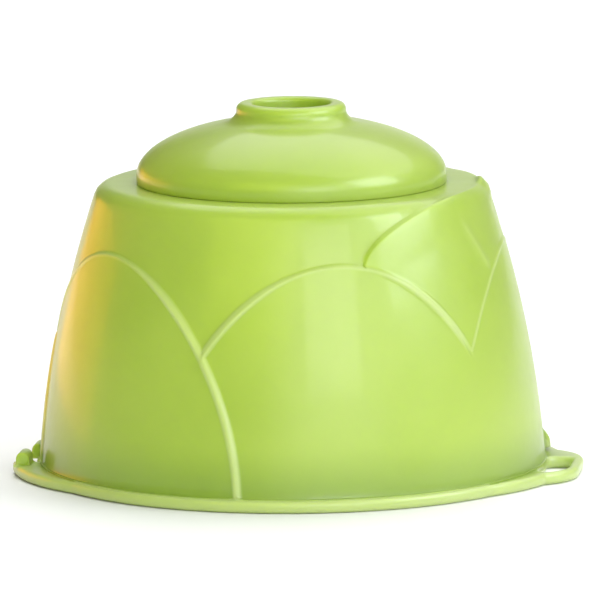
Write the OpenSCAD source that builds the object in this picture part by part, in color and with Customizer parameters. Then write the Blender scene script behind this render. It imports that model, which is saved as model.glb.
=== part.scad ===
// Wasp trap: a petal-embossed cover with a rolled-out foot flange, a lift-off
// crown with the entry neck, a one-way entry funnel under it, and a twist-lock
// bait tray with a lidded bait cup inside.
// Frame: origin at the middle of the underside, +Z up, +X through the loop.

/* [Cover] */
// Outer radius of the side wall where it meets the flange
base_r = 56; // [55:0.1:56.4]
// How much the side wall leans in at the bottom, mm per mm of height
side_lean = 0.062; // [0.05:0.002:0.07]
// How much the lean grows with height, mm per mm squared
side_bulge = 0.00214; // [0.0019:0.00002:0.0022]
// Height of the ledge that the crown sits on
ledge_z = 64.8; // [63:0.2:66]
// Rounding between the ledge and the side wall
shoulder_r = 3.6; // [2:0.2:5]
// Wall thickness of the moulded parts
wall = 1.6; // [1.2:0.1:1.8]
// Radius of the access opening in the ledge
access_r = 30; // [28:0.5:31]

/* [Flange] */
// Outer radius of the foot flange
flange_r = 57.4; // [57.2:0.1:58.4]
// Thickness of the foot flange
flange_t = 2.7; // [2:0.1:3.2]

/* [Loop] */
// How far the rim bulges out towards the loop
loop_bulge = 61; // [60:0.2:61.6]
// Outer reach of the loop from the axis
loop_reach = 64.4; // [63.5:0.1:65]
// Length of the loop along the rim
loop_len = 36; // [32:1:38]
// Width of the loop's bar
loop_bar = 2.2; // [2:0.1:2.8]
// Thickness of the loop
loop_t = 2.5; // [2:0.1:2.7]
// Radius of the stop bump behind the loop
bump_r = 3.4; // [2.5:0.1:4]

/* [Tab] */
// Reach of the swollen tab from the axis, opposite the loop
tab_reach = 63.6; // [62.5:0.1:64]
// Width of the notch that ends the tab
notch_width = 6; // [4.5:0.5:8]
// Length of each of the two catch barrels beside the notch
barrel_len = 6; // [4:0.5:7]
// Radius of a catch barrel
barrel_r = 1.5; // [1.2:0.1:1.8]

/* [Petals] */
// Number of petals round the side wall
petal_count = 5; // [4:1:6]
// Direction of the first petal's middle, from +X
petal_turn = 1; // [-10:1:10]
// Height of the petals' tops
petal_top = 52.4; // [46:0.1:54]
// How far a petal stands out of the side wall
petal_relief = 0.6; // [0.4:0.1:0.8]

/* [Crown] */
// Outer radius of the crown at its foot
crown_r = 34.4; // [33.5:0.1:36]
// Height of the crown's straight band
crown_band = 1.7; // [1.4:0.1:3]
// Rise of the crown's dome above the band
dome_h = 12.8; // [12:0.1:14]

/* [Neck] */
// Outer radius of the neck
neck_r = 12.2; // [11.5:0.1:13]
// Radius of the entry hole
entry_r = 8.5; // [7.5:0.1:9]
// Height of the neck's top above the dome's pole
neck_h = 3.1; // [2.5:0.1:4]

/* [Funnel] */
// Radius of the funnel's small mouth
mouth_r = 4.4; // [4:0.1:5]
// Length of the funnel below the crown
funnel_len = 34; // [28:1:36]

/* [Tray] */
// Outer radius of the bait tray
tray_r = 50.6; // [50:0.1:51]
// Height of the tray's wall
tray_h = 15; // [12:1:18]
// Radius of the raised middle that carries the bait cup
pedestal_r = 15; // [14:0.5:17]

/* [Bait cup] */
// Outer radius of the bait cup
cup_r = 14; // [13:0.5:14.5]
// Height of the bait cup
cup_h = 16; // [12:1:18]
// Number of scent holes in the outer ring of the cup's lid
scent_holes = 12; // [8:1:14]

/* [Hidden] */
$fn = 96;

// Clearances: between bodies, and where one piece seats on another
clear = 0.3;
seat = 0.15;
side_steps = 12;
arc_steps = 6;

// Outer radius of the side wall at a height
function side_r(z) = base_r - side_lean * z - side_bulge * z * z;
// Points of a circular arc, from one angle to another
function arc(cx, cz, r, a0, a1, n) =
    [for (i = [0 : n]) let (a = a0 + (a1 - a0) * i / n) [cx + r * cos(a), cz + r * sin(a)]];

// The shoulder's arc starts where the side wall has about this lean
shoulder_lean = 18;
shoulder_z = ledge_z - shoulder_r * (1 - sin(shoulder_lean));
shoulder_cx = side_r(shoulder_z) - shoulder_r * cos(shoulder_lean);
shoulder_cz = ledge_z - shoulder_r;
// Inside of the side wall low down, where the lock ribs sit
skirt_in = side_r(flange_t) - wall;

// Side wall and shoulder from one height up, moved out by grow
function side_line(z0, grow) = concat(
    [for (i = [0 : side_steps - 1]) let (z = z0 + (shoulder_z - z0) * i / side_steps)
        [side_r(z) + grow, z]],
    arc(shoulder_cx, shoulder_cz, shoulder_r + grow, shoulder_lean, 90, arc_steps)
);
function reversed(list) = [for (i = [len(list) - 1 : -1 : 0]) list[i]];

module cover_outline() {
    polygon(concat(
        [[skirt_in, 0], [flange_r - 0.5, 0], [flange_r, 0.5], [flange_r, flange_t - 0.8]],
        [[flange_r - 0.8, flange_t]],
        side_line(flange_t, 0),
        [[access_r, ledge_z], [access_r, ledge_z - wall]],
        reversed(side_line(flange_t, -wall))
    ));
}

// Half width of a petal at a height, in degrees round the side wall
petal_half = 45;
function petal_angle(z) = petal_half * sqrt(1 - pow(z / petal_top, 2));
// Height where two neighbours meet
valley_angle = 180 / petal_count;
valley_z = petal_top * sqrt(1 - pow(valley_angle / petal_half, 2));
valley_steps = 8;

// One side of the gap between two petals, as seen square on to the side wall
function valley_side() =
    [for (i = [0 : valley_steps]) let (z = valley_z + (petal_top - valley_z) * i / valley_steps)
        [side_r(z) * sin(valley_angle - petal_angle(z)), z]];

// Raised skin on the side wall, cut away in the gaps between the petals
module petal_row() {
    difference() {
        rotate_extrude()
            polygon(concat(
                [for (i = [0 : side_steps]) let (z = flange_t + (petal_top - flange_t) * i / side_steps)
                    [side_r(z) + petal_relief, z]],
                [for (i = [side_steps : -1 : 0]) let (z = flange_t + (petal_top - flange_t) * i / side_steps)
                    [side_r(z) - wall / 2, z]]
            ));
        for (i = [0 : petal_count - 1])
            rotate([0, 0, petal_turn + 360 / petal_count * (i + 0.5)])
                rotate([90, 0, 90])
                    translate([0, 0, access_r])
                        linear_extrude(access_r)
                            polygon(concat(
                                valley_side(),
                                [[base_r, petal_top], [base_r, petal_top + 1]],
                                [[-base_r, petal_top + 1], [-base_r, petal_top]],
                                [for (p = reversed(valley_side())) if (p[1] > valley_z) [-p[0], p[1]]]
                            ));
    }
}

// A broad leaf behind the petal at the loop; it climbs over the shoulder
leaf_turn = 4;
leaf_span = 112;
leaf_low_z = 33;
leaf_relief = 0.4;
leaf_in = 41;

module leaf() {
    rotate([0, 0, leaf_turn - leaf_span / 2])
        rotate_extrude(angle = leaf_span)
            polygon(concat(
                side_line(leaf_low_z, leaf_relief),
                [[leaf_in, ledge_z + leaf_relief], [leaf_in, ledge_z - wall / 2]],
                reversed(side_line(leaf_low_z, -wall / 2))
            ));
}

// A ring sector centred on +X
module sector(r_in, r_out, z0, z1, angle) {
    rotate([0, 0, -angle / 2])
        rotate_extrude(angle = angle)
            translate([r_in, z0])
                square([r_out - r_in, z1 - z0]);
}

// Lock ribs inside the skirt, and the tray's lugs that turn in above them
lock_count = 3;
rib_angle = 44;
lug_angle = 36;
rib_z = 1.2;
rib_t = 2;
lug_t = 2;
rib_in = tray_r + clear;
lug_out = skirt_in - clear;

module lock_ribs() {
    for (i = [0 : lock_count - 1])
        rotate([0, 0, 360 / lock_count * i])
            sector(rib_in, skirt_in + wall / 2, rib_z, rib_z + rib_t, rib_angle);
}

// A flat plate with round corners
module round_plate(x0, x1, len, r, t) {
    linear_extrude(t)
        hull() {
            for (x = [x0 + r, x1 - r], y = [-len / 2 + r, len / 2 - r])
                translate([x, y])
                    circle(r = r, $fn = 48);
        }
}

// The rim swells out to both sides, for the loop and for the catch
bulge_r = 45;
loop_root = 30;
loop_hole_x = 56.4;
loop_corner = 13;

module rim_bulge(reach, t) {
    translate([reach - bulge_r, 0, 0])
        cylinder(r = bulge_r, h = t);
}

// Only the front half of this swelling is there: it ends at the notch
notch_y = -9.6;
module tab_plate() {
    difference() {
        mirror([1, 0, 0])
            rim_bulge(tab_reach, flange_t - 0.1);
        translate([-tab_reach - 1, notch_y, -1])
            cube([2 * tab_reach, 2 * bulge_r, flange_t + 2]);
    }
}

module tab_notch() {
    translate([-tab_reach - 1, notch_y, -1])
        cube([tab_reach + 1 - base_r - 0.1, notch_width, flange_t + 2]);
}

module rim_plates() {
    difference() {
        union() {
            rim_bulge(loop_bulge, flange_t - 0.1);
            tab_plate();
            round_plate(loop_root, loop_reach, loop_len, loop_corner, loop_t);
        }
        translate([0, 0, -1])
            cylinder(r = skirt_in + wall / 2, h = flange_t + 2);
    }
}

// The eye follows the loop's outline, a bar's width inside it; its far end is a solid web
eye_back = 6;
module loop_hole() {
    eye_reach = loop_reach - loop_bar;
    eye_len = loop_len - 2 * loop_bar;
    intersection() {
        translate([0, 0, -1])
            round_plate(loop_root, eye_reach, eye_len, loop_corner - loop_bar, flange_t + 2);
        translate([loop_hole_x, -eye_len / 2, -2])
            cube([loop_reach - loop_hole_x, eye_len / 2 + eye_back, flange_t + 4]);
    }
}

// Rounded stop where the loop's far arm joins the rim
bump_angle = 17;
module stop_bump() {
    rotate([0, 0, bump_angle])
        translate([side_r(flange_t) - 1, 0, flange_t - 0.5])
            intersection() {
                sphere(r = bump_r, $fn = 48);
                translate([0, -bump_r, 0])
                    cube([bump_r, 2 * bump_r, bump_r]);
            }
}

// Catch barrels, lying along the rim on either side of the notch
barrel_z = flange_t + 1.4;
near_barrel = [-58.7, notch_y - barrel_len];
far_barrel = [-56.9, notch_y + notch_width];
module barrel(place) {
    translate([place[0], place[1], 0]) {
        translate([0, 0, barrel_z])
            rotate([-90, 0, 0])
                cylinder(r = barrel_r, h = barrel_len, $fn = 48);
        translate([-barrel_r, 0, flange_t - 0.5])
            cube([2 * barrel_r, barrel_len, barrel_z - flange_t + 0.5]);
    }
}

module petal_cover() {
    color([0.66, 0.84, 0.36]) {
        difference() {
            union() {
                rotate_extrude()
                    cover_outline();
                petal_row();
                leaf();
                rim_plates();
            }
            loop_hole();
            tab_notch();
        }
        lock_ribs();
        stop_bump();
        barrel(near_barrel);
        barrel(far_barrel);
    }
}

// Crown: a short upright band that rolls over into a shallow elliptic dome
crown_z = ledge_z + seat;
dome_z = crown_z + crown_band;
neck_top = dome_z + dome_h + neck_h;
spigot_r = access_r - clear;
spigot_h = 6;
socket_in = 12.4;
roof_z = neck_top - 5.4;
socket_z = roof_z - 3;
dome_steps = 12;
neck_edge = 1.6;

// Points of the dome's quarter ellipse, from the band up to a radius
function dome(rx, rz, r_end) =
    [for (i = [0 : dome_steps]) let (t = acos(r_end / rx) * i / dome_steps)
        [rx * cos(t), dome_z + rz * sin(t)]];

module crown_outline() {
    polygon(concat(
        [[spigot_r - wall, crown_z - spigot_h], [spigot_r, crown_z - spigot_h]],
        [[spigot_r, crown_z], [crown_r - 0.6, crown_z], [crown_r, crown_z + 0.6]],
        dome(crown_r, dome_h, neck_r + 2.4),
        [[neck_r + 0.8, dome_z + dome_h - 0.2], [neck_r, dome_z + dome_h + 0.6]],
        arc(neck_r - neck_edge, neck_top - neck_edge, neck_edge, 0, 90, 4),
        arc(entry_r + 0.8, neck_top - 0.8, 0.8, 90, 180, 3),
        [[entry_r, roof_z], [socket_in, roof_z]],
        reversed(dome(crown_r - wall, dome_h - wall, socket_in + 2 * wall)),
        [[crown_r - wall, crown_z + wall], [spigot_r - wall, crown_z + wall]]
    ));
}

module crown_lid() {
    color([0.72, 0.88, 0.42]) {
        rotate_extrude()
            crown_outline();
        translate([0, 0, socket_z])
            difference() {
                cylinder(r = socket_in + wall, h = roof_z - socket_z + 0.2);
                translate([0, 0, -1])
                    cylinder(r = socket_in, h = roof_z - socket_z + 3);
            }
    }
}

// Funnel: a collar that plugs into the crown's socket, and a cone down to the mouth
funnel_wall = 1.2;
collar_h = 4;
collar_r = socket_in - 0.05;
funnel_top = roof_z;
funnel_tip = funnel_top - funnel_len;

module entry_funnel() {
    color([0.93, 0.82, 0.3])
        rotate_extrude()
            polygon([
                [entry_r, funnel_top],
                [collar_r, funnel_top],
                [collar_r, funnel_top - collar_h + 1],
                [collar_r - 1, funnel_top - collar_h],
                [entry_r + funnel_wall, funnel_top - collar_h],
                [mouth_r + funnel_wall, funnel_tip],
                [mouth_r, funnel_tip]
            ]);
}

// Tray: a ring-shaped trough round a raised middle, with a grip bar beneath
tray_floor_z = 0.4;
tray_wall = 1.5;
pedestal_top = 9;
socket_boss_r = cup_r - 2.2;
socket_boss_h = 1.2;
lug_z = rib_z + rib_t + 0.2;

module tray_outline() {
    polygon([
        [0, pedestal_top - tray_wall],
        [pedestal_r - tray_wall, pedestal_top - tray_wall],
        [pedestal_r - tray_wall, tray_floor_z],
        [tray_r - 1, tray_floor_z],
        [tray_r, tray_floor_z + 1],
        [tray_r, tray_h],
        [tray_r - tray_wall, tray_h],
        [tray_r - tray_wall, tray_floor_z + tray_wall + 1],
        [tray_r - tray_wall - 1, tray_floor_z + tray_wall],
        [pedestal_r, tray_floor_z + tray_wall],
        [pedestal_r, pedestal_top],
        [socket_boss_r, pedestal_top],
        [socket_boss_r, pedestal_top + socket_boss_h],
        [0, pedestal_top + socket_boss_h]
    ]);
}

grip_w = 4;

module bait_tray() {
    color([0.85, 0.9, 0.62]) {
        rotate_extrude()
            tray_outline();
        for (i = [0 : lock_count - 1])
            rotate([0, 0, 360 / lock_count * i])
                sector(tray_r - tray_wall / 2, lug_out, lug_z, lug_z + lug_t, lug_angle);
        translate([-pedestal_r + 1, -grip_w / 2, tray_floor_z])
            cube([2 * pedestal_r - 2, grip_w, pedestal_top - tray_wall - tray_floor_z + 0.5]);
    }
}

// Bait cup: its foot ring sits round the tray's boss
cup_wall = 1.4;
cup_z = pedestal_top;
cup_top = cup_z + cup_h;
cup_floor_z = cup_z + socket_boss_h + 0.1;
nub_z = cup_top - 4;
nub_t = 1.4;
nub_out = 1;
nub_angle = 30;

module cup_nubs(r_in, r_out, z, angle) {
    for (i = [0 : 1])
        rotate([0, 0, 180 * i])
            sector(r_in, r_out, z, z + nub_t, angle);
}

module bait_cup() {
    color([0.85, 0.9, 0.62]) {
        rotate_extrude()
            polygon([
                [socket_boss_r + 0.05, cup_z],
                [cup_r, cup_z],
                [cup_r, cup_top],
                [cup_r - cup_wall, cup_top],
                [cup_r - cup_wall, cup_floor_z + cup_wall],
                [0, cup_floor_z + cup_wall],
                [0, cup_floor_z],
                [socket_boss_r + 0.05, cup_floor_z]
            ]);
        cup_nubs(cup_r - cup_wall / 2, cup_r + nub_out, nub_z, nub_angle);
    }
}

// Cup lid: a perforated disc whose skirt ribs turn in under the cup's nubs
lid_in = cup_r + nub_out + clear;
lid_wall = 1.3;
lid_skirt = 6.4;
lid_z = cup_top + seat;
lid_rib_z = nub_z - nub_t - 0.2;
scent_r = 1.1;
ring_steps = [[4.2, 6], [9, scent_holes]];

module bait_cup_lid() {
    color([0.93, 0.82, 0.3])
        difference() {
            union() {
                translate([0, 0, lid_z])
                    cylinder(r = lid_in + lid_wall, h = lid_wall);
                difference() {
                    translate([0, 0, lid_z - lid_skirt])
                        cylinder(r = lid_in + lid_wall, h = lid_skirt + 0.5);
                    translate([0, 0, lid_z - lid_skirt - 1])
                        cylinder(r = lid_in, h = lid_skirt + 1);
                }
                cup_nubs(cup_r + clear, lid_in + lid_wall / 2, lid_rib_z, nub_angle);
            }
            for (ring = ring_steps)
                for (i = [0 : ring[1] - 1])
                    rotate([0, 0, 360 / ring[1] * i])
                        translate([ring[0], 0, lid_z - 1])
                            cylinder(r = scent_r, h = lid_wall + 2, $fn = 32);
        }
}

petal_cover();
crown_lid();
entry_funnel();
bait_tray();
bait_cup();
bait_cup_lid();
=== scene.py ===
"""Wasp trap: the looks of a moulded cover with embossed petals, its crown with the
entry neck, the entry funnel, the bait tray, and the bait cup with its lid."""
import math

import bmesh
import bpy
import numpy as np
from mathutils import Matrix, Quaternion, Vector
from mathutils.geometry import delaunay_2d_cdt, tessellate_polygon
from mathutils.kdtree import KDTree


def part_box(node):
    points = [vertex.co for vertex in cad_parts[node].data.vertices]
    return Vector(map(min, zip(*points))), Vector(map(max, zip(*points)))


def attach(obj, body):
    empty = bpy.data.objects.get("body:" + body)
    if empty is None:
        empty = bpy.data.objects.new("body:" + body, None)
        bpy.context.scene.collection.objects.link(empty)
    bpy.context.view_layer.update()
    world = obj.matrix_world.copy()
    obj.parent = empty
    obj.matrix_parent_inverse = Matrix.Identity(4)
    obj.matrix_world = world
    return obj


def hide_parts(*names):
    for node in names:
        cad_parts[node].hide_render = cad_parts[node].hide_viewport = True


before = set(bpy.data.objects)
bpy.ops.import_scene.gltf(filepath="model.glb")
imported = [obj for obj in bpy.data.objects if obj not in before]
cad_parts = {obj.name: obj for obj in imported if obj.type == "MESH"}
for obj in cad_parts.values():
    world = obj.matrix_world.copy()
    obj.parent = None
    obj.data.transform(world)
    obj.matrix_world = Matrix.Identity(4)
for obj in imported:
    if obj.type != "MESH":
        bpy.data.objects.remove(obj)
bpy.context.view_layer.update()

# Shapes are worked out in millimetres, and meshes are made in metres.
MM = 0.001


# ---------------------------------------------------------------- camera

def aim_camera(turn, lift, roll, distance, lens, rise, right_shift, down_shift):
    """A long lens that looks slightly down on the trap, turned a little to its right."""
    a, e = math.radians(turn), math.radians(lift)
    back = Vector((math.sin(a) * math.cos(e), -math.cos(a) * math.cos(e), math.sin(e)))
    facing = (-back).to_track_quat("-Z", "Y")
    aim = Vector((0, 0, rise))
    aim += facing @ Vector((right_shift, -down_shift, 0))
    data = bpy.data.cameras.new("camera")
    data.lens = lens
    data.clip_start, data.clip_end = 0.05, 50
    camera = bpy.data.objects.new("camera", data)
    bpy.context.scene.collection.objects.link(camera)
    camera.rotation_mode = "QUATERNION"
    camera.rotation_quaternion = facing @ Quaternion((0, 0, 1), math.radians(-roll))
    camera.location = (aim + back * distance) * MM
    bpy.context.scene.camera = camera


aim_camera(turn=7, lift=8.75, roll=0.37, distance=2000, lens=535.5,
           rise=42, right_shift=2.24, down_shift=4.33)


# ---------------------------------------------------------------- sizes

WALL, CLEAR = 1.6, 0.3
# Side wall: its radius falls with height by this curve
BASE_R, SIDE_LEAN, SIDE_BULGE = 56.0, 0.062, 0.00214
LEDGE_Z, SHOULDER_R, SHOULDER_LEAN = 64.8, 3.6, 18
ACCESS_R, LIP = 30.0, 0.6
FLANGE_R, FLANGE_T, FLANGE_EDGE, FOOT_FILLET = 57.4, 2.7, 0.95, 0.7
# The rim swells out towards the loop and, in front of a notch, opposite it
BULGE_R, LOOP_BULGE = 45.0, 61.0
LOOP_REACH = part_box("petal_cover")[1].x / MM
TAB_REACH, NOTCH_Y, NOTCH_WIDTH = 62.8, -9.6, 6.0
LOOP_HALF, LOOP_CORNER, LOOP_BAR = 18.0, 13.0, 2.3
EYE_FROM, EYE_BACK, EYE_CORNER = 56.4, 6.0, 1.2
BARREL_R, BARREL_LEN, BARREL_Z, NEAR_X, FAR_X = 1.5, 6.0, 4.1, -58.7, -56.9
# The tray's lugs turn in above ribs inside the wall: the directions of their middles, and the
# angle, height and thickness of each
LOCK_TURNS, TRAY_R, LUG_R = (0, 120, 240), 50.6, 53.9
RIB_ANGLE, RIB_Z, RIB_T = 44, 1.2, 2.0
LUG_ANGLE, LUG_Z, LUG_T = 36, 3.4, 2.0
# Petals: the direction of each one's middle, and the two half axes of its outline
PETAL_TURNS = (-70.6, 1.4, 74.1, 146.8, 219.5)
PETAL_HALF, PETAL_TOP = 45.0, 52.4
PETAL_SKIN, PETAL_LAP, LAP_WIDTH = 0.3, 0.2, 9.0
BEAD_HALF, BEAD_H = 1.25, 0.42
# An embossed step starts this far outside its outline, and is this wide
EDGE_OUT, EDGE_SPAN, LEAF_EDGE_SPAN = 0.35, 0.9, 1.1
# The front petal's lap fades out downwards over these heights
FADE_FOOT, FADE_SPAN = 30, 8
# Broad leaf behind the petal at the loop, up to its tip on the shoulder
LEAF_TURN, LEAF_HALF, LEAF_LOW, LEAF_RISE, LEAF_FOOT = 4.0, 67.5, 51.75, 13.6, 20
LEAF_TIP_TURN, LEAF_TIP, LEAF_TIP_HALF, TIP_FALL = 8.0, 1.0, 9.0, 5
# The leaf is thickest along its edge, and thins over this distance to this share
LEAF_SKIN, LEAF_FALL, LEAF_THIN = 0.75, 9, 0.55
# Its step has this share of its height at the tip and behind it, and grows to the whole in front,
# from the first angle off the tip and over the second
SHOULDER_SHARE, SHOULDER_FROM, SHOULDER_SPAN = 0.3, 14, 30
# A faint crease runs down the leaf: the angle and height of its two ends
CREASE_FROM, CREASE_TO, CREASE_HALF, CREASE_H = (-28.5, 61.0), (-19.5, 49.5), 1.7, 0.16
# The stop is a low bump at the foot of the wall, beside the loop
STOP_TURN, STOP_HALF, STOP_H, STOP_TOP = 17.0, 4.6, 2.2, 9.5
# Where two neighbouring faces turn by more than this angle, their edge is crisp
CRISP_ANGLE = 38


def side_radius(z):
    """Radius of the plain wall at a height."""
    return BASE_R - SIDE_LEAN * z - SIDE_BULGE * z * z


def arc(cx, cz, r, a0, a1, n):
    """Points of a circular arc between two angles in degrees."""
    a = np.radians(np.linspace(a0, a1, n + 1))
    return [(cx + r * c, cz + r * s) for c, s in zip(np.cos(a), np.sin(a))]


def filleted(corners, steps=4):
    """A closed outline from (r, z) or (r, z, fillet) corners, with the fillets as arcs."""
    points = []
    for i, corner in enumerate(corners):
        here = Vector(corner[:2])
        radius = corner[2] if len(corner) > 2 else 0
        if not radius:
            points.append(tuple(here))
            continue
        before = (Vector(corners[i - 1][:2]) - here).normalized()
        after = (Vector(corners[(i + 1) % len(corners)][:2]) - here).normalized()
        half = before.angle(after) / 2
        start, end = (here + way * radius / math.tan(half) for way in (before, after))
        centre = here + (before + after).normalized() * radius / math.sin(half)
        for k in range(steps + 1):
            way = (start - centre).normalized().slerp((end - centre).normalized(), k / steps)
            points.append(tuple(centre + way * radius))
    return points


# ---------------------------------------------------------------- meshes

def make_object(name, verts, faces):
    """A mesh object from points in millimetres, with its normals turned outwards."""
    mesh = bpy.data.meshes.new(name)
    bm = bmesh.new()
    made = [bm.verts.new(Vector(v) * MM) for v in verts]
    for face in faces:
        if len(set(face)) == len(face):
            bm.faces.new([made[i] for i in face])
    bmesh.ops.recalc_face_normals(bm, faces=bm.faces)
    bm.to_mesh(mesh)
    bm.free()
    obj = bpy.data.objects.new(name, mesh)
    bpy.context.scene.collection.objects.link(obj)
    return obj


def lathe(name, outline, turns=192, wave=None):
    """A closed outline of (r, z) points turned about the Z axis; points at r 0 share one vertex.
    wave, if given, returns how much to take off the radius at (angle, r, z)."""
    verts, index = [], {}
    for j, (r, z) in enumerate(outline):
        if r < 1e-6:
            index[j] = [len(verts)] * turns
            verts.append((0, 0, z))
            continue
        index[j] = list(range(len(verts), len(verts) + turns))
        for i in range(turns):
            a = 2 * math.pi * i / turns
            reach = r - (wave(a, r, z) if wave else 0)
            verts.append((reach * math.cos(a), reach * math.sin(a), z))
    faces = []
    for j in range(len(outline)):
        low, high = index[j], index[(j + 1) % len(outline)]
        if low[0] == low[1] and high[0] == high[1]:
            continue
        for i in range(turns):
            k = (i + 1) % turns
            # on the axis two of the corners are one vertex
            faces.append(list(dict.fromkeys((low[i], low[k], high[k], high[i]))))
    return make_object(name, verts, faces)


def sector(name, outline, middle, angle, steps=24):
    """A closed outline of (r, z) points swept through an angle about the Z axis, with flat ends."""
    n = len(outline)
    verts, faces = [], []
    for i in range(steps + 1):
        a = math.radians(middle + angle * (i / steps - 0.5))
        verts += [(r * math.cos(a), r * math.sin(a), z) for r, z in outline]
    for i in range(steps):
        for j in range(n):
            k = (j + 1) % n
            faces.append((i * n + j, i * n + k, (i + 1) * n + k, (i + 1) * n + j))
    faces += [tuple(range(n)), tuple(range(steps * n, steps * n + n))]
    return make_object(name, verts, faces)


def plate(name, rings, z0, z1, edge, steps=3):
    """A flat plate with rounded edges. The first ring of (x, y) points is its outline, and the
    others are holes; every ring is walked with the solid on its left."""
    levels = [(edge * (1 - math.sin(a)), z0 + edge * (1 - math.cos(a)))
              for a in np.linspace(0, math.pi / 2, steps + 1)]
    levels += [(inset, z0 + z1 - z) for inset, z in reversed(levels)]
    verts, faces, caps = [], [], []
    for ring in rings:
        ring = np.array(ring)
        way = np.roll(ring, -1, 0) - np.roll(ring, 1, 0)
        way /= np.linalg.norm(way, axis=1)[:, None]
        inward = np.stack((-way[:, 1], way[:, 0]), 1)
        n, start = len(ring), len(verts)
        for inset, z in levels:
            verts += [(x, y, z) for x, y in ring + inward * inset]
        for j in range(len(levels) - 1):
            for i in range(n):
                k = (i + 1) % n
                a, b = start + j * n, start + (j + 1) * n
                faces.append((a + i, a + k, b + k, b + i))
        caps.append((start, start + (len(levels) - 1) * n, n))
    for side in (0, 1):
        ids = [cap[side] + i for cap in caps for i in range(cap[2])]
        loops = [[Vector(verts[cap[side] + i]) for i in range(cap[2])] for cap in caps]
        faces += [[ids[i] for i in tri] for tri in tessellate_polygon(loops)]
    return make_object(name, verts, faces)


def combine(base, others, operation="UNION"):
    """Joins closed meshes into one closed mesh, or cuts them out of the first."""
    for other in others:
        cut = base.modifiers.new("combine", "BOOLEAN")
        cut.operation, cut.solver, cut.object = operation, "MANIFOLD", other
    bpy.context.view_layer.update()
    result = base.evaluated_get(bpy.context.evaluated_depsgraph_get())
    mesh = bpy.data.meshes.new_from_object(result)
    base.modifiers.clear()
    old, base.data = base.data, mesh
    bpy.data.meshes.remove(old)
    for other in others:
        bpy.data.objects.remove(other)
    return base


def shade(obj):
    """Smooth shading, with sharp edges kept crisp."""
    obj.data.shade_smooth()
    obj.data.set_sharp_from_angle(angle=math.radians(CRISP_ANGLE))
    return obj


# ---------------------------------------------------------------- cover: the embossed wall

def smooth(x):
    """A soft step from 0 to 1 as x goes from 0 to 1."""
    x = np.clip(x, 0, 1)
    return x * x * (3 - 2 * x)


def wrapped(angle):
    """An angle in degrees, brought to between -180 and 180."""
    return (angle + 180) % 360 - 180


SHOULDER_Z = LEDGE_Z - SHOULDER_R * (1 - math.sin(math.radians(SHOULDER_LEAN)))
SHOULDER_CX = side_radius(SHOULDER_Z) - SHOULDER_R * math.cos(math.radians(SHOULDER_LEAN))
SHOULDER_CZ = LEDGE_Z - SHOULDER_R
SIDE_POINTS, FOOT_STEPS = 160, 5


def outer_line():
    """Dense (r, z) points up the outside of the cover, from the flange to the access opening."""
    foot = FLANGE_T + FOOT_FILLET
    # an arc ends a little short of the line it meets, so no two points are the same
    line = arc(side_radius(foot) + FOOT_FILLET, foot - 0.03, FOOT_FILLET, 270, 184, FOOT_STEPS)
    line += [(side_radius(z), z) for z in np.linspace(foot, SHOULDER_Z, SIDE_POINTS)]
    line += arc(SHOULDER_CX, SHOULDER_CZ, SHOULDER_R, SHOULDER_LEAN + 2, 90, 24)
    line += [(r, LEDGE_Z) for r in np.linspace(SHOULDER_CX, ACCESS_R + LIP, 12)[1:]]
    return np.array(line)


LINE = outer_line()
STEP = np.diff(LINE, axis=0)
ALONG = np.concatenate(([0], np.cumsum(np.hypot(STEP[:, 0], STEP[:, 1]))))
OUT = np.stack((np.gradient(LINE[:, 1], ALONG), -np.gradient(LINE[:, 0], ALONG)), 1)


def on_line(s):
    """Radius, height and outward normal at a distance along the outside line."""
    return [np.interp(s, ALONG, column) for column in (*LINE.T, *OUT.T)]


def along_at(r, z):
    """Distance along the outside line of a point near it."""
    turned = np.degrees(np.arctan2(z - SHOULDER_CZ, r - SHOULDER_CX))
    side = FOOT_STEPS + 1 + SIDE_POINTS
    low = np.interp(z, LINE[:side, 1], ALONG[:side])
    at_shoulder = ALONG[side - 1]
    high = at_shoulder + SHOULDER_R * np.radians(np.clip(turned, SHOULDER_LEAN, 90) - SHOULDER_LEAN)
    flat = np.where(r < SHOULDER_CX, SHOULDER_CX - r, 0)
    return np.where(z < SHOULDER_Z, low, high + flat)


def petal_gap(theta, z, r, turn):
    """Distance from a petal's outline in mm, negative inside it."""
    off = wrapped(theta - turn)
    q = np.maximum(np.hypot(off / PETAL_HALF, z / PETAL_TOP), 1e-6)
    across = off / PETAL_HALF**2 * math.degrees(1) / r
    slope = np.hypot(across, z / PETAL_TOP**2) / q
    return (q - 1) / np.maximum(slope, 1e-6)


def leaf_top(off):
    """How far up the outside line the broad leaf reaches, at an angle off its middle."""
    share = np.clip(1 - np.abs(off / LEAF_HALF) ** 3, 0, 1)
    return LEAF_LOW + LEAF_RISE * share ** (2 / 3)


def leaf_gap(theta, s, r):
    """Distance from the broad leaf's edge in mm, negative inside it."""
    off = wrapped(theta - LEAF_TURN)
    nudge = 0.2
    slope = (leaf_top(off + nudge) - leaf_top(off - nudge)) / (2 * nudge) * math.degrees(1) / r
    return (s - leaf_top(off)) / np.hypot(1, slope)


def crease_gap(theta, z, r):
    """Distance from the leaf's crease, and how far down it, from 0 to 1."""
    scale = math.radians(1) * r
    dx, dz = (CREASE_TO[0] - CREASE_FROM[0]) * scale, CREASE_TO[1] - CREASE_FROM[1]
    x, y = wrapped(theta - CREASE_FROM[0]) * scale, z - CREASE_FROM[1]
    share = (x * dx + y * dz) / (dx * dx + dz * dz)
    held = np.clip(share, 0, 1)
    return np.hypot(x - held * dx, y - held * dz), share


def ridge(gap, half):
    """The rounded section of a ridge, 1 on its middle line and 0 at half its width."""
    return np.clip(1 - (gap / half) ** 2, 0, 1) ** 2


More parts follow.
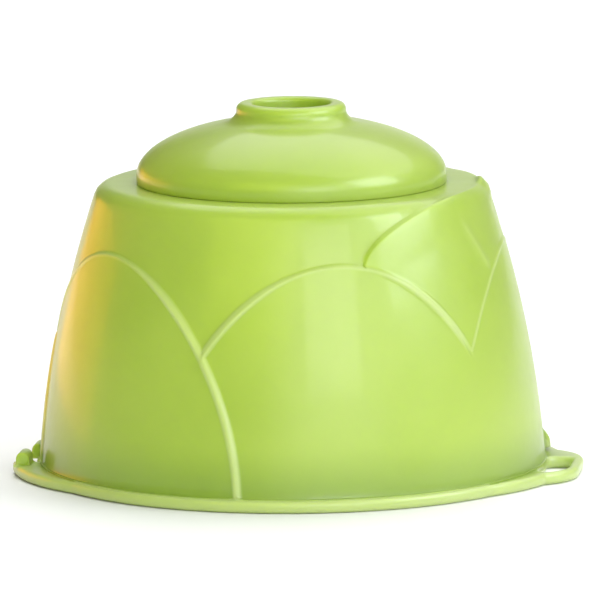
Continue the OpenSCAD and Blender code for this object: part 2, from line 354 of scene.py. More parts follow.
def petal_relief(theta, z, r):
    """Height of the petals over the plain wall, how much of a bead each point is, and its
    distance from the nearest petal."""
    gaps = [petal_gap(theta, z, r, turn) for turn in PETAL_TURNS]
    nearest = np.min(gaps, axis=0)
    height = PETAL_SKIN * smooth((EDGE_OUT - nearest) / EDGE_SPAN)
    bead = np.zeros_like(height)
    for i, gap in enumerate(gaps):
        off = wrapped(theta - PETAL_TURNS[i])
        upper = off > 0
        # a bead is slim at its petal's tip and full along the flanks, but for the right-hand
        # petal's, which stays slim towards the front
        full = 0.5 + 0.5 * smooth(np.abs(off) / PETAL_HALF * 2.2 - 0.3)
        if i == 1:
            full = np.where(upper, full, 0.5)
        under = gaps[i - 1]
        over = gaps[(i + 1) % len(gaps)]
        # one side of a petal laps over its neighbour down to the foot; the front one's fades out
        fade = smooth((z - FADE_FOOT) / FADE_SPAN) if i == 0 else 1
        keep = np.where(upper, fade, smooth((under - 0.1) / 0.7))
        bead = np.maximum(bead, ridge(gap, BEAD_HALF * full) * keep * full)
        lap = np.clip(1 + gap / LAP_WIDTH, 0, 1)
        lap = lap * smooth((EDGE_OUT - gap) / EDGE_SPAN) * smooth(-over)
        height = height + np.where(upper, PETAL_LAP * lap * fade, 0)
    return height, bead, nearest


def leaf_relief(theta, s, z, r, nearest):
    """Height of the broad leaf where no petal covers it, and how much of that is its crease."""
    leaf = leaf_gap(theta, s, r)
    inside = smooth((EDGE_OUT - leaf) / LEAF_EDGE_SPAN) * smooth((nearest + 0.2) / EDGE_SPAN)
    inside = inside * (np.abs(wrapped(theta - LEAF_TURN)) < LEAF_HALF) * (z > LEAF_FOOT)
    rise = LEAF_SKIN * (LEAF_THIN + (1 - LEAF_THIN) * np.clip(1 + leaf / LEAF_FALL, 0, 1))
    # the step is low along the shoulder, but for the tip itself
    from_tip = wrapped(theta - LEAF_TIP_TURN)
    full = smooth((-from_tip - SHOULDER_FROM) / SHOULDER_SPAN)
    rise = rise * (SHOULDER_SHARE + (1 - SHOULDER_SHARE) * full)
    rise = rise + LEAF_TIP * ridge(from_tip, LEAF_TIP_HALF) * np.clip(1 + leaf / TIP_FALL, 0, 1)
    away, share = crease_gap(theta, z, r)
    fold = ridge(away, CREASE_HALF) * smooth(share * 3)
    return inside * (rise + CREASE_H * fold), inside * fold


def stop_relief(theta, z, r):
    """Height of the stop over the plain wall."""
    beside = wrapped(theta - STOP_TURN) * np.radians(1) * r
    stop = smooth(1.25 - np.abs(beside) / STOP_HALF) * smooth((STOP_TOP - z) / 5)
    return STOP_H * stop


def relief(theta, s):
    """How far the embossing stands out of the plain wall, and how much of a bead or crease each
    point is, for the highlight painted paler along them.
    """
    r, z, _, _ = on_line(s)
    petals, bead, nearest = petal_relief(theta, z, r)
    leaf, fold = leaf_relief(theta, s, z, r, nearest)
    height = petals + leaf + stop_relief(theta, z, r)
    # a fifth of the crease joins the bead share only for the highlight painted paler there
    return height + BEAD_H * bead, bead + 0.2 * fold


# Rows of mesh points beside each embossed line, in mm from it
BEAD_ROWS = np.array([-1.4, -1.12, -0.84, -0.56, -0.28, 0, 0.28, 0.56, 0.84, 1.12, 1.4])
LEAF_ROWS = (-0.9, -0.6, -0.42, -0.25, -0.08, 0.1, 0.4)
CREASE_ROWS = (-1.1, -0.7, -0.35, 0, 0.35, 0.7, 1.1)


def outline_points():
    """(angle, distance along) points in rows beside every embossed line, where the mesh is fine."""
    points = []
    spread = np.linspace(0.015, math.pi - 0.015, 330)
    for i, turn in enumerate(PETAL_TURNS):
        off, z = PETAL_HALF * np.cos(spread), PETAL_TOP * np.sin(spread)
        r = side_radius(z)
        nx, nz = off / PETAL_HALF**2 * math.degrees(1) / r, z / PETAL_TOP**2
        length = np.hypot(nx, nz)
        hidden = (off < 0) & (petal_gap(turn + off, z, r, PETAL_TURNS[i - 1]) < -1.5)
        for row in BEAD_ROWS:
            theta = turn + off + row * nx / length * math.degrees(1) / r
            height = z + row * nz / length
            points.append(np.stack((theta, along_at(r, height)), 1)[~hidden])
    off = np.linspace(-LEAF_HALF, LEAF_HALF, 420)
    top = leaf_top(off)
    r = on_line(top)[0]
    nx, nz = -np.gradient(top) / (np.gradient(off) * np.radians(1) * r), np.ones_like(off)
    length = np.hypot(nx, nz)
    for row in LEAF_ROWS:
        theta = LEAF_TURN + off + row * nx / length * math.degrees(1) / r
        points.append(np.stack((theta, top + row * nz / length), 1))
    share = np.linspace(0, 1, 36)
    for row in CREASE_ROWS:
        # square to the crease, in degrees and in mm
        theta = CREASE_FROM[0] + share * (CREASE_TO[0] - CREASE_FROM[0]) + row * 1.1
        z = CREASE_FROM[1] + share * (CREASE_TO[1] - CREASE_FROM[1]) + row * 0.5
        points.append(np.stack((theta, along_at(side_radius(z), z)), 1))
    theta, z = np.meshgrid(STOP_TURN + np.arange(-7, 7.1, 0.5), np.arange(3.4, 11, 0.5))
    points.append(np.stack((theta.ravel(), along_at(side_radius(z), z).ravel()), 1))
    return np.concatenate(points)


def search_tree(points):
    """A tree that finds the points near a place on the unrolled map."""
    tree = KDTree(len(points))
    for i, (x, y) in enumerate(points):
        tree.insert((x, y, 0), i)
    tree.balance()
    return tree


def thinned(points, near):
    """The points, without those that lie closer than near to an earlier one."""
    tree = search_tree(points)
    gone = np.zeros(len(points), bool)
    for i, (x, y) in enumerate(points):
        if not gone[i]:
            for _, j, _ in tree.find_range((x, y, 0), near):
                if j > i:
                    gone[j] = True
    return points[~gone]


COLUMNS = 384
FLAT_SCALE = 0.9  # mm round the wall for each degree, in the unrolled map
# Distances between points of the plain mesh, and the least ones in and beside the fine rows
COARSE, FINE, BESIDE = 1.5, 0.17, 0.7


def unrolled_points():
    """Points of the outside wall on the unrolled map: the two boundary rows, then the rest."""
    top = ALONG[-1]
    around = FLAT_SCALE * 360
    edge = np.arange(COLUMNS) * around / COLUMNS
    rims = [np.stack((edge, np.full(COLUMNS, s)), 1) for s in (0, top)]
    fine = outline_points()
    fine = np.stack((fine[:, 0] % 360 * FLAT_SCALE, fine[:, 1]), 1)
    # the fine rows keep clear of the two boundary rows
    fine = fine[(fine[:, 1] > 0.3) & (fine[:, 1] < top - 0.5)]
    fine = thinned(fine, FINE)
    rows = int(top / (COARSE * math.sqrt(0.75)))
    across = int(around / COARSE)
    grid = []
    for j in range(1, rows):
        shift = 0.5 * (j % 2)
        grid += [((i + shift) * around / across, j * top / rows) for i in range(across)]
    tree = search_tree(fine)
    grid = np.array([p for p in grid if tree.find((*p, 0))[2] > BESIDE])
    foot = np.stack((edge, np.full(COLUMNS, 0.5)), 1)
    return np.concatenate((*rims, fine, grid, foot)), around


def triangles_round(points, around):
    """Delaunay triangles of points on a map that closes on itself from left to right."""
    margin = 12
    ids = np.arange(len(points))
    left, right = points[:, 0] < margin, points[:, 0] > around - margin
    every = np.concatenate((points, points[left] + (around, 0), points[right] - (around, 0)))
    ids = np.concatenate((ids, ids[left], ids[right]))
    found = delaunay_2d_cdt([Vector(p) for p in every], [], [], 0, 1e-7)
    coords = np.array([tuple(v) for v in found[0]])
    origin = [group[0] for group in found[3]]
    tris = np.array(found[2])
    middle = coords[tris][:, :, 0].mean(1)
    tris = tris[(middle >= 0) & (middle < around)]
    return ids[np.array(origin)][tris]


def wall_shell():
    """The cover's wall and ledge: embossed outside, plain inside, closed at the foot."""
    points, around = unrolled_points()
    faces = [tuple(t) for t in triangles_round(points, around)]
    theta = points[:, 0] / FLAT_SCALE
    height, _ = relief(theta, points[:, 1])
    r, z, out_r, out_z = on_line(points[:, 1])
    r, z = r + height * out_r, z + height * out_z
    a = np.radians(theta)
    verts = list(zip(r * np.cos(a), r * np.sin(a), z))
    foot_z = 0.8
    # the inside line, from the opening's edge along the ledge and down the wall
    inner = arc(ACCESS_R + LIP, LEDGE_Z - LIP, LIP, 90, 180, 3)[1:]
    inner += arc(ACCESS_R + LIP, LEDGE_Z - WALL + LIP, LIP, 180, 270, 3)
    inner += [(x, LEDGE_Z - WALL) for x in (33, 36, 39)]
    inner += arc(SHOULDER_CX, SHOULDER_CZ, SHOULDER_R - WALL, 90, SHOULDER_LEAN, 6)
    inner += [(side_radius(y) - WALL, y) for y in np.linspace(SHOULDER_Z, foot_z, 14)[1:]]
    inner += [(side_radius(FLANGE_T) + FOOT_FILLET, foot_z)]
    rows = [list(range(COLUMNS, 2 * COLUMNS))]
    for r, z in inner:
        rows.append(list(range(len(verts), len(verts) + COLUMNS)))
        for i in range(COLUMNS):
            a = 2 * math.pi * i / COLUMNS
            verts.append((r * math.cos(a), r * math.sin(a), z))
    rows.append(list(range(COLUMNS)))
    for low, high in zip(rows, rows[1:]):
        for i in range(COLUMNS):
            k = (i + 1) % COLUMNS
            faces.append((low[i], low[k], high[k], high[i]))
    return make_object("petal_cover_shell", verts, faces)


# ---------------------------------------------------------------- cover: rim, loop and catch

RIM_POINTS, HOLE_POINTS = 1400, 384


def disc_reach(angle, centre_x, radius):
    """Distance from the axis to the far side of a disc centred on the X axis."""
    c, s = math.cos(angle), math.sin(angle)
    return centre_x * c + math.sqrt(max(radius**2 - (centre_x * s) ** 2, 0))


def loop_edge(angle):
    """Distance from the axis to the loop's outer edge, where a ray meets it."""
    c, s = math.cos(angle), abs(math.sin(angle))
    if c < 0.9:  # the loop is well within this of the X axis
        return 0
    reach = min(LOOP_REACH / c, LOOP_HALF / max(s, 1e-9))
    cx, cy = LOOP_REACH - LOOP_CORNER, LOOP_HALF - LOOP_CORNER
    if reach * c > cx and reach * s > cy:
        along = cx * c + cy * s
        inside = LOOP_CORNER**2 - (cx**2 + cy**2 - along**2)
        reach = along + math.sqrt(max(inside, 0)) if inside > 0 else 0
    return reach


def tab_edge(angle):
    """Distance from the axis to the rim's swelling opposite the loop, which ends at the notch."""
    reach = disc_reach(angle, BULGE_R - TAB_REACH, BULGE_R)
    return reach if reach * math.sin(angle) < NOTCH_Y else 0


def rim_ring():
    """The rim's outline: the round flange, its two swellings, the loop and the notch."""
    angles = np.radians(np.arange(0, 360, 0.05))
    reach = np.array([max(FLANGE_R, disc_reach(a, LOOP_BULGE - BULGE_R, BULGE_R), tab_edge(a),
                          loop_edge(a)) for a in angles])
    ring = np.stack((reach * np.cos(angles), reach * np.sin(angles)), 1)
    notch_x, corner = -(BASE_R + 0.1), (NOTCH_Y, NOTCH_Y + NOTCH_WIDTH)
    cut = (ring[:, 0] < 0) & (ring[:, 1] > corner[0]) & (ring[:, 1] < corner[1])
    inner = [(notch_x, y) for y in np.linspace(corner[1] - 0.01, corner[0] + 0.01, 24)]
    first = int(np.argmax(cut))
    last = first + int(cut.sum())
    outer_x = ring[last][0]
    # across the notch's bottom, then out along its side to the swelling
    side = [(x, corner[0] + 0.005) for x in np.linspace(notch_x, outer_x, 24)[1:]]
    ring = np.concatenate((ring[:first], inner, side, ring[last:]))
    # evenly spaced points, with the corners eased a little
    closed = np.concatenate((ring, ring[:1]))
    steps = np.hypot(*np.diff(closed, axis=0).T)
    at = np.concatenate(([0], np.cumsum(steps)))
    even = np.linspace(0, at[-1], RIM_POINTS, endpoint=False)
    ring = np.stack([np.interp(even, at, closed[:, k]) for k in (0, 1)], 1)
    for _ in range(2):
        ring = (np.roll(ring, 1, 0) + 2 * ring + np.roll(ring, -1, 0)) / 4
    return ring


def hole_ring(r, n):
    """A round hole about the axis, walked clockwise."""
    a = -np.linspace(0, 2 * math.pi, n, endpoint=False)
    return np.stack((r * np.cos(a), r * np.sin(a)), 1)


def eye_ring():
    """The loop's eye, a bar's width inside the loop's outline and closed by a web at its far
    end, walked clockwise."""
    cx, cy, r = LOOP_REACH - LOOP_CORNER, LOOP_HALF - LOOP_CORNER, LOOP_CORNER - LOOP_BAR
    turn = math.degrees(math.acos((EYE_FROM + EYE_CORNER - cx) / (r - EYE_CORNER)))
    near = cy + (r - EYE_CORNER) * math.sin(math.radians(turn))
    far_r = 2 * EYE_CORNER
    far = arc(EYE_FROM + far_r, EYE_BACK - far_r, far_r, 180, 90, 8)
    far += arc(cx + r - far_r, EYE_BACK - far_r, far_r, 90, 0, 8)
    front = arc(EYE_FROM + EYE_CORNER, -near, EYE_CORNER, -turn, -180, 8)
    return far + arc(cx, -cy, r, 0, -turn, 24)[:-1] + front


def barrel(x, y):
    """A catch barrel lying along the rim on a short foot, with rounded ends."""
    round_end = 0.4
    outline = [(0, 0)] + arc(BARREL_R - round_end, round_end, round_end, 270, 360, 4)
    outline += arc(BARREL_R - round_end, BARREL_LEN - round_end, round_end, 0, 90, 4)
    outline.append((0, BARREL_LEN))
    made = lathe("barrel", outline, turns=48)
    along = Matrix.Rotation(math.radians(-90), 4, "X")
    place = Matrix.Translation(Vector((x, y, BARREL_Z)) * MM)
    made.data.transform(place @ along)
    half, flare, low, short = BARREL_R - 0.02, 0.5, FLANGE_T - 0.5, 0.15
    curve = arc(half + flare, FLANGE_T + flare, flare, 180, 270, 4)[1:]
    side = [(half, BARREL_Z), (half, FLANGE_T + flare), *curve, (half + flare, low)]
    section = side + [(-across, up) for across, up in reversed(side)]
    ends = (short, BARREL_LEN - short)
    verts = [(x + across, y + deep, up) for deep in ends for across, up in section]
    n = len(section)
    faces = [(k, (k + 1) % n, (k + 1) % n + n, k + n) for k in range(n)]
    foot = make_object("foot", verts, [*faces, tuple(range(n)), tuple(range(n, 2 * n))])
    return combine(made, [foot])


def petal_cover():
    """The whole cover, one moulding."""
    shell = wall_shell()
    skirt_in = side_radius(FLANGE_T) - WALL - 0.06
    rings = [rim_ring(), hole_ring(skirt_in, HOLE_POINTS), eye_ring()]
    rim = plate("rim", rings, 0, FLANGE_T, FLANGE_EDGE)
    parts = [rim, barrel(NEAR_X, NOTCH_Y - BARREL_LEN), barrel(FAR_X, NOTCH_Y + NOTCH_WIDTH)]
    rib_in, rib_out, rib_top, edge = TRAY_R + CLEAR, skirt_in + 0.9, RIB_Z + RIB_T, 0.3
    rib = filleted([(rib_in, RIB_Z, edge), (rib_in, rib_top, edge), (rib_out, rib_top),
                    (rib_out, RIB_Z)])
    parts += [sector("rib", rib, middle, RIB_ANGLE) for middle in LOCK_TURNS]
    combine(shell, parts)
    mark_relief(shell)
    return shade(shell)


# Painted shade deepens the wall up to this height; a painted highlight pales the rim by this share
# of a bead
FOOT_SHADE_TOP, RIM_PAINTED_HIGHLIGHT, RIM_WIDTH = 15.0, 0.7, 1.2


def mark_relief(obj):
    """Stores on each vertex how much of a bead it is, for a highlight painted paler along the
    ridges, the crease and the rim's edge, and how near the foot of the wall it is, for shade painted
    deeper there."""
    co = np.zeros(len(obj.data.vertices) * 3)
    obj.data.vertices.foreach_get("co", co)
    x, y, z = co.reshape(-1, 3).T / MM
    r = np.hypot(x, y)
    s = along_at(r, z)
    # the bead and crease shares set where a highlight is painted as a paler colour
    _, bead = relief(np.degrees(np.arctan2(y, x)), s)
    # only the outside of the wall counts, not what is inside it or on the rim
    outside = r > side_radius(np.minimum(z, SHOULDER_Z)) - 0.6
    wall = outside & (z > FLANGE_T) & (z < LEDGE_Z + 2) & (r < BASE_R + 1)
    # painted shade: the wall turns deeper in colour towards its foot
    foot = smooth((FOOT_SHADE_TOP - z) / (FOOT_SHADE_TOP - FLANGE_T))
    # painted highlight: the rim's outer edge turns paler
    rim = np.where((z < FLANGE_T + 0.01) & (r > FLANGE_R - RIM_WIDTH), RIM_PAINTED_HIGHLIGHT, 0)
    for name, values in (("bead", np.where(wall, bead, rim)), ("foot", np.where(wall, foot, 0))):
        layer = obj.data.attributes.new(name, "FLOAT", "POINT")
        layer.data.foreach_set("value", values.astype(np.float32))


# ---------------------------------------------------------------- crown and funnel

NECK_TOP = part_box("crown_lid")[1].z / MM
SPIGOT_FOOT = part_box("crown_lid")[0].z / MM
CROWN_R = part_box("crown_lid")[1].x / MM
CROWN_FOOT, DOME_FOOT, DOME_H = LEDGE_Z + 0.03, LEDGE_Z + 1.85, 12.8
NECK_R, ENTRY_R, SPIGOT_R = 12.2, 8.5, 29.7
ROOF_Z = NECK_TOP - 5.4
# The funnel's collar plugs into a short socket under the crown's roof
SOCKET_R, SOCKET_H, COLLAR_H = 12.4, 3, 4
# The curve from the dome into the neck: mm out from the neck, mm up from the dome's top
NECK_CURVE = ((1.7, -0.95), (0.7, -0.15), (0.15, 0.6), (0, 1.3))


def dome(rx, rz, r_end, steps=40):
    """(r, z) points of the dome's section, from its foot up to a radius."""
    end = math.acos(r_end / rx)
    return [(rx * math.cos(t), DOME_FOOT + rz * math.sin(t)) for t in np.linspace(0, end, steps + 1)]


def crown_lid():
    """The domed crown, with the entry neck above and the spigot and the socket below."""
    outer = dome(CROWN_R, DOME_H, NECK_R + 3.4)
    inner = dome(CROWN_R - WALL, DOME_H - WALL, SOCKET_R + 2 * WALL)
    dome_top = DOME_FOOT + DOME_H
    curve = [(NECK_R + out, dome_top + up) for out, up in NECK_CURVE]
    socket_out, socket_foot = SOCKET_R + WALL, ROOF_Z - SOCKET_H
    outline = filleted([
        (SPIGOT_R - WALL, SPIGOT_FOOT, 0.3), (SPIGOT_R, SPIGOT_FOOT, 0.5),
        (SPIGOT_R, CROWN_FOOT, 0.15), (CROWN_R, CROWN_FOOT, 0.25), *outer,
        *curve, (NECK_R, NECK_TOP, 1.5), (ENTRY_R, NECK_TOP, 1.0), (ENTRY_R, ROOF_Z),
        (SOCKET_R, ROOF_Z, 0.2), (SOCKET_R, socket_foot, 0.3), (socket_out, socket_foot, 0.3),
        (socket_out, ROOF_Z - 0.45, 0.2), *reversed(inner),
        (CROWN_R - WALL, CROWN_FOOT + WALL, 0.5), (SPIGOT_R - WALL, CROWN_FOOT + WALL, 0.3),
    ], steps=6)
    return shade(lathe("crown_lid_shell", outline, turns=256))


def entry_funnel():
    """The one-way cone under the entry, with its collar."""
    tip, top = (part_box("entry_funnel")[k].z / MM for k in (0, 1))
    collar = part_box("entry_funnel")[1].x / MM
    mouth, thick, chamfer, edge = 4.4, 1.2, 1, 0.3
    collar_foot = top - COLLAR_H
    outline = filleted([
        (ENTRY_R, top, edge), (collar, top, edge), (collar, collar_foot + chamfer, edge),
        (collar - chamfer, collar_foot, edge), (ENTRY_R + thick, collar_foot, 0.5),
        (mouth + thick, tip, 0.5), (mouth, tip, 0.5),
    ])
    return shade(lathe("entry_funnel_cone", outline, turns=128))


# ---------------------------------------------------------------- tray, cup and lid

PEDESTAL_R, PEDESTAL_TOP = 15.0, 9.0
# The cup sits over a low boss on the pedestal
BOSS_R, BOSS_H = 11.8, 1.2
# Rings of grooves under the tray's floor: their radii, half widths and depth
GROOVE_RINGS, GROOVE_MOUTH, GROOVE_BED, GROOVE_DEPTH = (22, 32, 42), 0.9, 0.5, 0.35


def bait_tray():
    """The round trough that closes the underside, with its pedestal, lugs and finger grip."""
    floor_z, lip_z = (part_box("bait_tray")[k].z / MM for k in (0, 1))
    wall = 1.5
    recess_r, recess_top, boss_top = PEDESTAL_R - wall, PEDESTAL_TOP - wall, PEDESTAL_TOP + BOSS_H
    under = []
    for ring_r in GROOVE_RINGS:
        bed_z = floor_z + GROOVE_DEPTH
        under += [(ring_r - GROOVE_MOUTH, floor_z), (ring_r - GROOVE_BED, bed_z),
                  (ring_r + GROOVE_BED, bed_z), (ring_r + GROOVE_MOUTH, floor_z)]
    outline = filleted([
        (0, recess_top), (recess_r, recess_top, 1.0), (recess_r, floor_z, 0.5), *under,
        (TRAY_R, floor_z, 1.0), (TRAY_R, lip_z, 0.6), (TRAY_R - wall, lip_z, 0.6),
        (TRAY_R - wall, floor_z + wall, 1.4), (PEDESTAL_R, floor_z + wall, 1.2),
        (PEDESTAL_R, PEDESTAL_TOP, 0.5), (BOSS_R, PEDESTAL_TOP, 0.3), (BOSS_R, boss_top, 0.3),
        (0, boss_top),
    ])
    tray = lathe("bait_tray_trough", outline, turns=256)
    root, lug_top, edge = TRAY_R - wall / 2, LUG_Z + LUG_T, 0.35
    lug = filleted([(root, LUG_Z), (LUG_R, LUG_Z, edge), (LUG_R, lug_top, edge), (root, lug_top)])
    parts = [sector("lug", lug, middle, LUG_ANGLE) for middle in LOCK_TURNS]
    parts.append(grip_bar(floor_z, recess_top + 0.5, recess_r + 0.5))
    combine(tray, parts)
    return shade(tray)


def grip_bar(z0, z1, half):
    """Finger grip across the recess under the tray, waisted on both sides."""
    half_width, waist, share, edge = 2, 0.7, 0.7, 0.45
    side = []
    for x in np.linspace(-half, half, 41):
        bend = math.cos(math.pi * x / half / (2 * share)) if abs(x) < share * half else 0
        side.append((x, waist * bend ** 2 - half_width))
    ring = side + [(x, -y) for x, y in reversed(side)]
    return plate("grip", [ring], z0, z1, edge)


CUP_R = 14.0
# Bayonet of the cup and its lid: two nubs on the cup, and two ribs in the lid that turn under them
NUB_ANGLE, NUB_T, NUB_OUT, NUB_Z, LID_RIB_Z = 30, 1.4, 1, 21, 19.4
# Rings of holes in the lid: radius of the ring and number of holes, then each hole's own radius
SCENT_RINGS, SCENT_R = ((4.2, 6), (9.0, 12)), 1.1


def bayonet(r_in, r_out, z):
    """The two opposite nubs or ribs of a bayonet."""
    top = z + NUB_T
    outline = filleted([(r_in, z, 0.2), (r_out, z, 0.3), (r_out, top, 0.3), (r_in, top, 0.2)])
    return [sector("nub", outline, middle, NUB_ANGLE) for middle in (0, 180)]


def bait_cup():
    """The small pot on the tray's pedestal."""
    wall = 1.4
    foot, top = (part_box("bait_cup")[k].z / MM for k in (0, 1))
    # the recess underneath fits over the tray's boss
    recess_r, floor_z = BOSS_R + 0.05, foot + BOSS_H + 0.1
    outline = filleted([
        (recess_r, foot, 0.3), (CUP_R, foot, 0.4), (CUP_R, top, 0.5), (CUP_R - wall, top, 0.5),
        (CUP_R - wall, floor_z + wall, 1.2), (0, floor_z + wall), (0, floor_z),
        (recess_r, floor_z, 0.2),
    ])
    cup = lathe("bait_cup_pot", outline, turns=160)
    combine(cup, bayonet(CUP_R - wall / 2, CUP_R + NUB_OUT, NUB_Z))
    return shade(cup)


def bait_cup_lid():
    """The pot's fluted cap, with scent holes through its top."""
    lid_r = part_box("bait_cup_lid")[1].x / MM
    foot, top = (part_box("bait_cup_lid")[k].z / MM for k in (0, 1))
    wall, flutes, flute_depth, fade = 1.3, 48, 0.3, 0.8
    inside, under = lid_r - wall, top - wall

    def knurl(a, r, z):
        """Depth of the flutes round the skirt, which fade out towards its two edges."""
        held = smooth(np.array((top - 1.2 - z) / fade)) * smooth(np.array((z - foot - 0.3) / fade))
        deep = flute_depth * float(held) * (0.5 + 0.5 * math.cos(flutes * a))
        return deep if r > lid_r - 0.1 else 0

    rows = [(lid_r, z) for z in np.linspace(foot + 0.6, top - 1.0, 8)]
    outline = filleted([
        (0, under), (inside, under, 0.4), (inside, foot, 0.25), (lid_r, foot, 0.4), *rows,
        (lid_r, top, 0.6), (0, top),
    ])
    lid = lathe("bait_cup_lid_cap", outline, turns=384, wave=knurl)
    combine(lid, bayonet(CUP_R + CLEAR, inside + wall / 2, LID_RIB_Z))
    # each hole is a little wider at its two mouths; the cutter runs on past them by 1 mm
    flare, past, mouth = 0.25, 0.75, SCENT_R + 1.0
    hole = [(0, under - 1), (mouth, under - 1), (SCENT_R, under + flare), (SCENT_R, top - flare),
            (mouth, top + past), (0, top + past)]
    holes = []
    for ring_r, count in SCENT_RINGS:
        for i in range(count):
            a = 2 * math.pi * i / count
            cutter = lathe("hole", hole, turns=32)
            move = Vector((ring_r * math.cos(a), ring_r * math.sin(a), 0)) * MM
            cutter.data.transform(Matrix.Translation(move))
            holes.append(cutter)
    combine(lid, holes, "DIFFERENCE")
    return shade(lid)


# ---------------------------------------------------------------- materials

LIME_DEEP, LIME_PALE = (0.345, 0.475, 0.068), (0.395, 0.525, 0.09)
FUNNEL_DEEP, FUNNEL_PALE = (0.24, 0.36, 0.06), (0.29, 0.4, 0.08)
TRAY_DEEP, TRAY_PALE = (0.28, 0.39, 0.08), (0.33, 0.44, 0.1)
YELLOW_DEEP, YELLOW_PALE = (0.55, 0.33, 0.02), (0.62, 0.4, 0.04)
TRANSLUCENCY, ROUGHNESS, COAT = 0.6, 0.38, 0.35
# How often each pattern turns in a metre
CLOUDS, SCUFFS, PEEL, GRAIN = 28, 60, 260, 2600


def moulded_plastic(name, deep, pale, painted_highlight_and_shade=False):
    """Glossy, slightly translucent moulded plastic: cloudy colour, soft orange peel, fine grain
    and faint scuffs in the gloss. Where asked, a highlight is painted on the embossed beads, the
    leaf's crease and the rim's edge as a paler colour, and shade is painted at the foot of the
    wall as a deeper colour."""
    mat = bpy.data.materials.new(name)
    mat.use_nodes = True
    tree = mat.node_tree
    nodes, links = tree.nodes, tree.links
    shader = nodes["Principled BSDF"]
    shader.inputs["Subsurface Weight"].default_value = TRANSLUCENCY
    shader.inputs["Subsurface Scale"].default_value = 0.004
    shader.inputs["Subsurface Radius"].default_value = (0.9, 1.0, 0.35)
    shader.inputs["IOR"].default_value = 1.45
    shader.inputs["Coat Weight"].default_value = COAT
    shader.inputs["Coat Roughness"].default_value = 0.12
    place = nodes.new("ShaderNodeTexCoord")

    def noise(scale, detail, rough=0.5):
        made = nodes.new("ShaderNodeTexNoise")
        made.inputs["Scale"].default_value = scale
        made.inputs["Detail"].default_value = detail
        made.inputs["Roughness"].default_value = rough
        links.new(place.outputs["Object"], made.inputs["Vector"])
        return made.outputs["Fac"]

    def spread(value, low, high, to_low, to_high):
        made = nodes.new("ShaderNodeMapRange")
        ends = {"From Min": low, "From Max": high, "To Min": to_low, "To Max": to_high}
        for key, number in ends.items():
            made.inputs[key].default_value = number
        links.new(value, made.inputs["Value"])
        return made.outputs["Result"]

    def blend(share, a, b):
        made = nodes.new("ShaderNodeMix")
        made.data_type = "RGBA"
        links.new(share, made.inputs["Factor"])
        for key, colour in (("A", a), ("B", b)):
            socket = [s for s in made.inputs if s.name == key and s.type == "RGBA"][0]
            if isinstance(colour, tuple):
                socket.default_value = (*colour, 1)
            else:
                links.new(colour, socket)
        return [s for s in made.outputs if s.type == "RGBA"][0]

    def marked(layer_name):
        made = nodes.new("ShaderNodeAttribute")
        made.attribute_name = layer_name
        return made.outputs["Fac"]

    colour = blend(spread(noise(CLOUDS, 3), 0.3, 0.7, 0, 1), deep, pale)
    if painted_highlight_and_shade:
        # painted shade: deeper colour towards the foot of the wall
        shadow = (deep[0] * 0.5, deep[1] * 0.6, deep[2] * 0.5)
        colour = blend(spread(marked("foot"), 0, 1, 0, 0.6), colour, shadow)
        # painted highlight: paler colour on the beads, the leaf's crease and the rim's edge
        light = (pale[0] * 1.05 + 0.05, pale[1] * 1.02 + 0.03, pale[2] + 0.13)
        colour = blend(spread(marked("bead"), 0, 0.7, 0, 0.9), colour, light)
    links.new(colour, shader.inputs["Base Color"])
    gloss = spread(noise(SCUFFS, 6, 0.65), 0.3, 0.75, ROUGHNESS - 0.04, ROUGHNESS + 0.07)
    links.new(gloss, shader.inputs["Roughness"])
    peel = nodes.new("ShaderNodeBump")
    peel.inputs["Strength"].default_value = 0.25
    peel.inputs["Distance"].default_value = 0.0002
    links.new(noise(PEEL, 2), peel.inputs["Height"])
    grain = nodes.new("ShaderNodeBump")
    grain.inputs["Strength"].default_value = 0.12
    grain.inputs["Distance"].default_value = 0.00005
    links.new(noise(GRAIN, 3), grain.inputs["Height"])
    links.new(peel.outputs["Normal"], grain.inputs["Normal"])
    links.new(grain.outputs["Normal"], shader.inputs["Normal"])
    return mat


PIECES = []


def dress(obj, body, node, slot, deep, pale, painted_highlight_and_shade=False):
    """Gives a piece its plastic and its body, and hides the CAD node that it stands for."""
    PIECES.append(obj)
    obj.data.materials.clear()
    obj.data.materials.append(moulded_plastic(slot, deep, pale, painted_highlight_and_shade))
    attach(obj, body)
    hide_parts(node)


# the cover's plastic carries painted shade at the wall's foot and painted highlights on its beads
# and rim
dress(petal_cover(), "cover", "petal_cover", "cover_plastic", LIME_DEEP, LIME_PALE, painted_highlight_and_shade=True)
dress(crown_lid(), "crown", "crown_lid", "crown_plastic", LIME_DEEP, LIME_PALE)
dress(entry_funnel(), "crown", "entry_funnel", "funnel_plastic", FUNNEL_DEEP, FUNNEL_PALE)
dress(bait_tray(), "tray", "bait_tray", "tray_plastic", TRAY_DEEP, TRAY_PALE)
dress(bait_cup(), "tray", "bait_cup", "cup_plastic", YELLOW_DEEP, YELLOW_PALE)
dress(bait_cup_lid(), "cup_lid", "bait_cup_lid", "cup_lid_plastic", YELLOW_DEEP, YELLOW_PALE)


# ---------------------------------------------------------------- stage and light

def floor():
    """A plain pale floor that runs well past the view."""
    half = 3000
    corners = [(-half, -half, 0), (half, -half, 0), (half, half, 0), (-half, half, 0)]
    made = make_object("floor", corners, [(0, 1, 2, 3)])
    mat = bpy.data.materials.new("floor")
    mat.use_nodes = True
    shader = mat.node_tree.nodes["Principled BSDF"]
    shader.inputs["Base Color"].default_value = (0.93, 0.93, 0.93, 1)
    shader.inputs["Roughness"].default_value = 0.6
    made.data.materials.append(mat)
    return made


def lit_group(name, objects):
    """A group of objects for lights that light nothing else."""
    group = bpy.data.collections.new(name)
    for obj in objects:
        group.objects.link(obj)
    return group


WHITE, COOL, LIME_LIGHT, WARM = (1, 1, 1), (0.9, 0.97, 1.0), (0.85, 1.0, 0.1), (1.0, 0.38, 0.0)


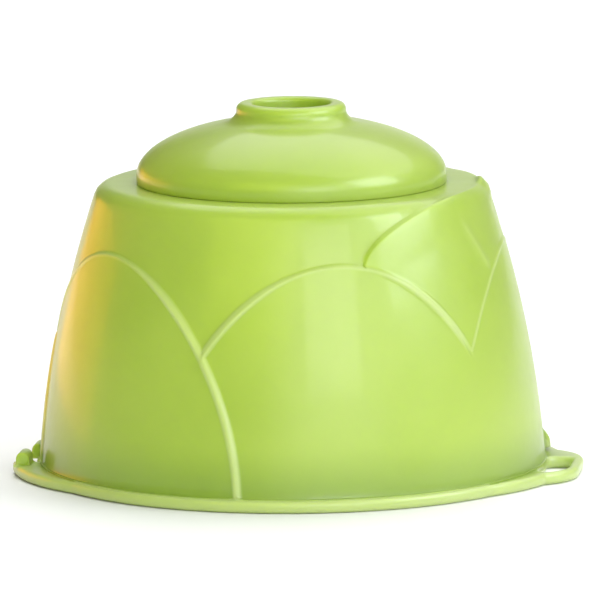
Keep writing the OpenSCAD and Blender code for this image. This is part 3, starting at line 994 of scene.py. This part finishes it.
def soft_light(name, place, size, power, colour=WHITE, lit=None):
    """A soft box that faces the trap. Its place is azimuth, where 0 is in front of the trap and 90
    to its right, elevation, both in degrees, and distance. With lit, it only lights that group."""
    azimuth, elevation, distance = place
    a, e = math.radians(azimuth), math.radians(elevation)
    way = Vector((math.sin(a) * math.cos(e), -math.cos(a) * math.cos(e), math.sin(e)))
    data = bpy.data.lights.new(name, "AREA")
    data.shape = "RECTANGLE"
    data.size, data.size_y = size
    data.energy, data.color = power, colour
    light = bpy.data.objects.new(name, data)
    bpy.context.scene.collection.objects.link(light)
    light.location = Vector((0, 0, 0.04)) + way * distance
    light.rotation_mode = "QUATERNION"
    light.rotation_quaternion = (-way).to_track_quat("-Z", "Y")
    if lit:
        light.light_linking.receiver_collection = lit
    return light


def studio(trap, ground):
    """A pale room, white behind the trap and dim in front of it, with soft boxes. The lime and
    warm ones light the trap alone, and one more keeps the floor white."""
    world = bpy.data.worlds.new("studio")
    world.use_nodes = True
    nodes, links = world.node_tree.nodes, world.node_tree.links
    way = nodes.new("ShaderNodeTexCoord")
    split = nodes.new("ShaderNodeSeparateXYZ")
    room = nodes.new("ShaderNodeMapRange")
    ends = {"From Min": 0.9, "From Max": 1.0, "To Min": 0.1, "To Max": 0.9}
    for key, number in ends.items():
        room.inputs[key].default_value = number
    links.new(way.outputs["Generated"], split.inputs["Vector"])
    links.new(split.outputs["Y"], room.inputs["Value"])
    links.new(room.outputs["Result"], nodes["Background"].inputs["Strength"])
    nodes["Background"].inputs["Color"].default_value = (*WHITE, 1)
    bpy.context.scene.world = world
    soft_light("ceiling", (155, 66, 2.4), (3.6, 3.0), 64)
    soft_light("floor_fill", (180, 60, 2.6), (4.0, 3.0), 42, lit=ground)
    # the key's glint on the plastic is stronger than its light
    key = (76, 30, 0.9)
    soft_light("key", key, (0.46, 0.42), 2.6, COOL)
    soft_light("key_shine", key, (0.54, 0.46), 5.6, COOL).visible_diffuse = False
    # three boxes at one place make a highlight that fades at its edge
    for width in (0.5, 0.9, 1.3):
        soft_light("front_right", (27, 18, 1.1), (width, 0.7 * width), 2.8)
    soft_light("front_left", (-16, 30, 1.0), (0.8, 0.6), 3.7, LIME_LIGHT, trap)
    soft_light("warm_card", (-117, 2, 0.3), (0.26, 0.1), 0.21, WARM, trap)
    bpy.context.scene.view_settings.view_transform = "Standard"


studio(lit_group("trap", PIECES), lit_group("ground", [floor()]))
